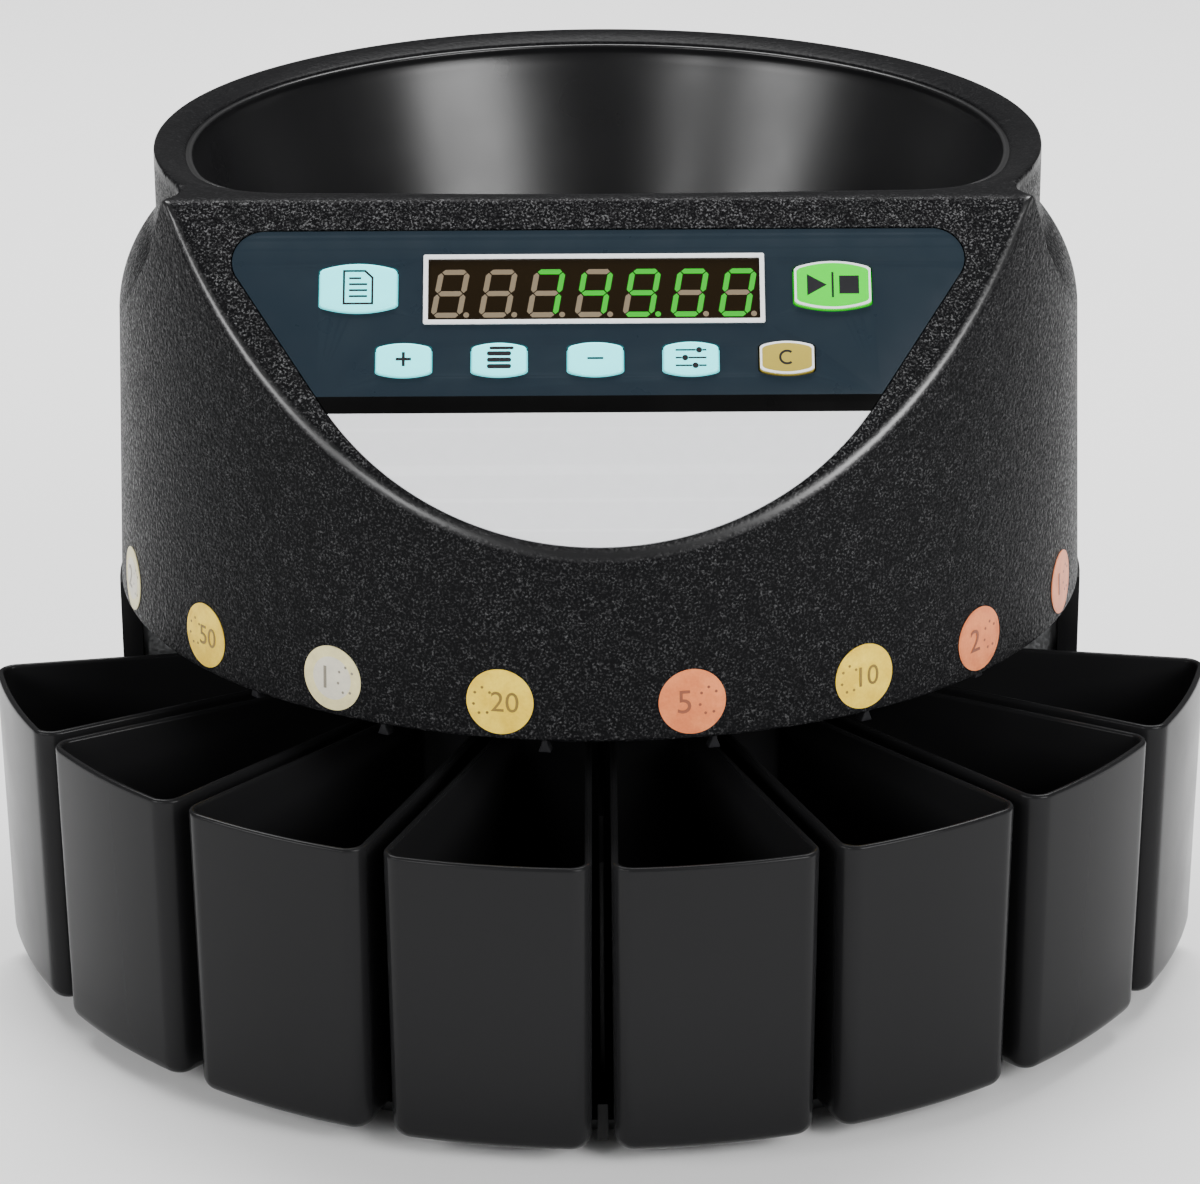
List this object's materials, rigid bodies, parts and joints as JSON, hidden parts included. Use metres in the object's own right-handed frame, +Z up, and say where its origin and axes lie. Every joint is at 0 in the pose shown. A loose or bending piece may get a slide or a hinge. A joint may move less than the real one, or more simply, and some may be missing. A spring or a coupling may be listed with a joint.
{
  "type": "coin counter",
  "caption": "Electronic coin sorter with a hopper on a round housing, a sloping keypad panel with a display, and wedge cups fanned round its foot.",
  "frame": {"origin": "centre of the footprint, on the surface the machine stands on", "axes": "+Z up, -Y out of the control panel, +X to the right of a person at the panel"},
  "size_m": [0.3562, 0.3264, 0.244],
  "materials": {
    "textured_black_plastic": "moulded with a coarse leather-like grain, slight sparkle",
    "funnel_black_plastic": "smooth satin moulding",
    "cup_black_plastic": "smooth glossy moulding",
    "tray_black_plastic": "fine grain moulding",
    "overlay_blue_grey": "printed film, satin",
    "strip_black": "printed film, satin",
    "label_white": "printed film, satin, blank",
    "bezel_white": "gloss",
    "window_brown": "dark filter, gloss",
    "segment_green": "lit green",
    "segment_unlit": "unlit segments",
    "key_cyan": "moulded, satin",
    "key_green": "moulded, satin",
    "key_tan": "moulded, satin",
    "label_gold": "printed foil label",
    "label_copper": "printed foil label",
    "label_silver": "printed foil label, two colours",
    "rubber": "moulded rubber",
    "belt_rubber": "smooth rubber belt",
    "zinc_steel": "zinc plated sheet, dull",
    "aluminium": "turned and milled, satin",
    "shaft_steel": "ground",
    "motor_steel": "satin grey",
    "core_laminations": "varnished laminations",
    "circuit_board": "green solder mask",
    "component_black": "moulded component bodies",
    "rocker_red": "gloss",
    "screw_zinc": "zinc plated"
  },
  "bodies": {
    "housing": {"rubber_feet": "rubber", "base_tray": "tray_black_plastic", "cup_dividers": "tray_black_plastic", "lower_housing": "tray_black_plastic", "side_brackets": "zinc_steel", "deck_plate": "zinc_steel", "exit_chutes": "tray_black_plastic", "exit_sensors": "component_black", "sorting_rail": "aluminium", "rail_cover": "funnel_black_plastic", "bearing_housing": "aluminium", "ball_bearings": "shaft_steel", "drive_belt": "belt_rubber", "drive_motor": "motor_steel", "motor_bracket": "zinc_steel", "transformer": "core_laminations", "main_board": "circuit_board", "board_parts": "component_black", "power_inlet": "component_black", "switch_frame": "component_black", "printer_port": "zinc_steel", "drum_cover": "textured_black_plastic", "hopper_funnel": "funnel_black_plastic", "control_overlay": "overlay_blue_grey", "overlay_strip": "strip_black", "label_plate": "label_white", "display_bezel": "bezel_white", "display_window": "window_brown", "digits_lit": "segment_green", "digits_unlit": "segment_unlit", "led_module": "component_black", "key_board": "circuit_board", "key_switches": "component_black", "labels_gold": "label_gold", "labels_copper": "label_copper", "labels_bimetal": "label_silver", "base_screws": "screw_zinc"},
    "sorting_disc": {"coin_disc": "aluminium", "disc_knob": "aluminium", "disc_shaft": "shaft_steel", "disc_pulley": "component_black"},
    "motor_rotor": {"motor_pulley": "component_black", "motor_shaft": "shaft_steel"},
    "power_rocker": {"power_rocker": "rocker_red"},
    "coin_cup_1": {"coin_cup_1": "cup_black_plastic"},
    "coin_cup_2": {"coin_cup_2": "cup_black_plastic"},
    "coin_cup_3": {"coin_cup_3": "cup_black_plastic"},
    "coin_cup_4": {"coin_cup_4": "cup_black_plastic"},
    "coin_cup_5": {"coin_cup_5": "cup_black_plastic"},
    "coin_cup_6": {"coin_cup_6": "cup_black_plastic"},
    "coin_cup_7": {"coin_cup_7": "cup_black_plastic"},
    "coin_cup_8": {"coin_cup_8": "cup_black_plastic"},
    "report_key": {"report_key": "key_cyan"},
    "start_stop_key": {"start_stop_key": "key_green"},
    "plus_key": {"plus_key": "key_cyan"},
    "batch_key": {"batch_key": "key_cyan"},
    "minus_key": {"minus_key": "key_cyan"},
    "set_key": {"set_key": "key_cyan"},
    "clear_key": {"clear_key": "key_tan"}
  },
  "joints": [
    {"name": "coin_cup_1_slide", "type": "slide", "parent": "housing", "child": "coin_cup_1", "axis": [-0.9397, -0.342, 0], "range_m": [0, 0.075]},
    {"name": "coin_cup_2_slide", "type": "slide", "parent": "housing", "child": "coin_cup_2", "axis": [-0.766, -0.6428, 0], "range_m": [0, 0.075]},
    {"name": "coin_cup_3_slide", "type": "slide", "parent": "housing", "child": "coin_cup_3", "axis": [-0.5, -0.866, 0], "range_m": [0, 0.075]},
    {"name": "coin_cup_4_slide", "type": "slide", "parent": "housing", "child": "coin_cup_4", "axis": [-0.1736, -0.9848, 0], "range_m": [0, 0.075]},
    {"name": "coin_cup_5_slide", "type": "slide", "parent": "housing", "child": "coin_cup_5", "axis": [0.1736, -0.9848, 0], "range_m": [0, 0.075]},
    {"name": "coin_cup_6_slide", "type": "slide", "parent": "housing", "child": "coin_cup_6", "axis": [0.5, -0.866, 0], "range_m": [0, 0.075]},
    {"name": "coin_cup_7_slide", "type": "slide", "parent": "housing", "child": "coin_cup_7", "axis": [0.766, -0.6428, 0], "range_m": [0, 0.075]},
    {"name": "coin_cup_8_slide", "type": "slide", "parent": "housing", "child": "coin_cup_8", "axis": [0.9397, -0.342, 0], "range_m": [0, 0.075]},
    {"name": "report_key_press", "type": "slide", "parent": "housing", "child": "report_key", "axis": [0, 0.7431, -0.6691], "range_m": [0, 0.0008], "stiffness_N_per_m": 600, "springref_m": -0.0015},
    {"name": "start_stop_key_press", "type": "slide", "parent": "housing", "child": "start_stop_key", "axis": [0, 0.7431, -0.6691], "range_m": [0, 0.0008], "stiffness_N_per_m": 600, "springref_m": -0.0015},
    {"name": "plus_key_press", "type": "slide", "parent": "housing", "child": "plus_key", "axis": [0, 0.7431, -0.6691], "range_m": [0, 0.0008], "stiffness_N_per_m": 600, "springref_m": -0.0015},
    {"name": "batch_key_press", "type": "slide", "parent": "housing", "child": "batch_key", "axis": [0, 0.7431, -0.6691], "range_m": [0, 0.0008], "stiffness_N_per_m": 600, "springref_m": -0.0015},
    {"name": "minus_key_press", "type": "slide", "parent": "housing", "child": "minus_key", "axis": [0, 0.7431, -0.6691], "range_m": [0, 0.0008], "stiffness_N_per_m": 600, "springref_m": -0.0015},
    {"name": "set_key_press", "type": "slide", "parent": "housing", "child": "set_key", "axis": [0, 0.7431, -0.6691], "range_m": [0, 0.0008], "stiffness_N_per_m": 600, "springref_m": -0.0015},
    {"name": "clear_key_press", "type": "slide", "parent": "housing", "child": "clear_key", "axis": [0, 0.7431, -0.6691], "range_m": [0, 0.0008], "stiffness_N_per_m": 600, "springref_m": -0.0015},
    {"name": "disc_spin", "type": "hinge", "parent": "housing", "child": "sorting_disc", "pos_m": [0, 0.01905, 0.117], "axis": [0, 0, 1], "continuous": true},
    {"name": "motor_spin", "type": "hinge", "parent": "housing", "child": "motor_rotor", "pos_m": [0, 0.08505, 0.087], "axis": [0, 0, 1], "continuous": true},
    {"name": "rocker_tip", "type": "hinge", "parent": "housing", "child": "power_rocker", "pos_m": [0.004, 0.14205, 0.044], "axis": [1, 0, 0], "range_deg": [-18, 0]}
  ],
  "couplings": [
    {"joint": "motor_spin", "follows": "disc_spin", "ratio": 4.5}
  ]
}
